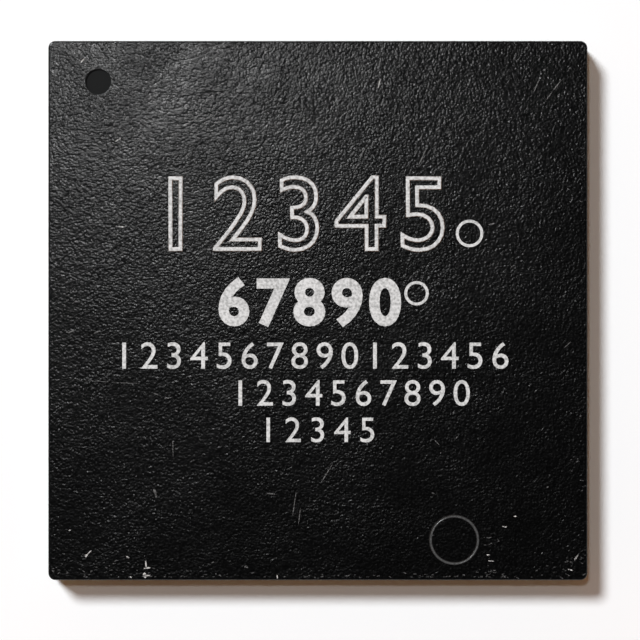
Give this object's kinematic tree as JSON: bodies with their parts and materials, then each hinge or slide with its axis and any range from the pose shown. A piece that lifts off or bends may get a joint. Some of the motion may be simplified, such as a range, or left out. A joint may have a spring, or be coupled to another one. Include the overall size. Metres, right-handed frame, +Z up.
{
  "type": "moulded ball grid array chip",
  "caption": "Square black moulded chip package: a wire-bonded die on a four-layer laminate, with a full grid of solder balls underneath",
  "frame": {"origin": "centre of the package in plan, on the plane that the solder balls stand on", "axes": "+Z up, out of the moulded face; +Y towards ball row A and +X along the row away from ball A1, so the A1 dimple is at -X, +Y"},
  "size_m": [0.023, 0.023, 0.0022],
  "materials": {
    "moulding": "black silica-filled epoxy, satin, with fine wrinkles from the mould",
    "silicon": "polished silicon",
    "adhesive": "silver-filled die adhesive",
    "gold": "bright gold wire and gold-plated copper",
    "copper": "etched and plated copper",
    "laminate": "glass cloth in resin, sawn edge",
    "solder_mask": "green solder mask",
    "solder": "reflowed tin-lead solder, bright with a fine grain"
  },
  "bodies": {
    "root": {"mold_cap": "moulding", "die": "silicon", "die_attach": "adhesive", "bond_wires_east": "gold", "bond_wires_north": "gold", "bond_wires_west": "gold", "bond_wires_south": "gold", "solder_mask_top": "solder_mask", "die_paddle": "copper", "power_ring": "copper", "bond_fingers": "gold", "top_via_pads": "copper", "upper_prepreg": "laminate", "power_plane": "copper", "core_laminate": "laminate", "ground_plane": "copper", "lower_prepreg": "laminate", "ground_vias": "copper", "power_vias": "copper", "signal_vias": "copper", "ball_lands": "copper", "solder_mask_bottom": "solder_mask", "ball_row_a": "solder", "ball_row_b": "solder", "ball_row_c": "solder", "ball_row_d": "solder", "ball_row_e": "solder", "ball_row_f": "solder", "ball_row_g": "solder", "ball_row_h": "solder", "ball_row_j": "solder", "ball_row_k": "solder", "ball_row_l": "solder", "ball_row_m": "solder", "ball_row_n": "solder", "ball_row_p": "solder", "ball_row_r": "solder", "ball_row_t": "solder", "ball_row_u": "solder", "ball_row_v": "solder", "ball_row_w": "solder", "ball_row_y": "solder", "ball_row_aa": "solder", "ball_row_ab": "solder"}
  },
  "joints": []
}
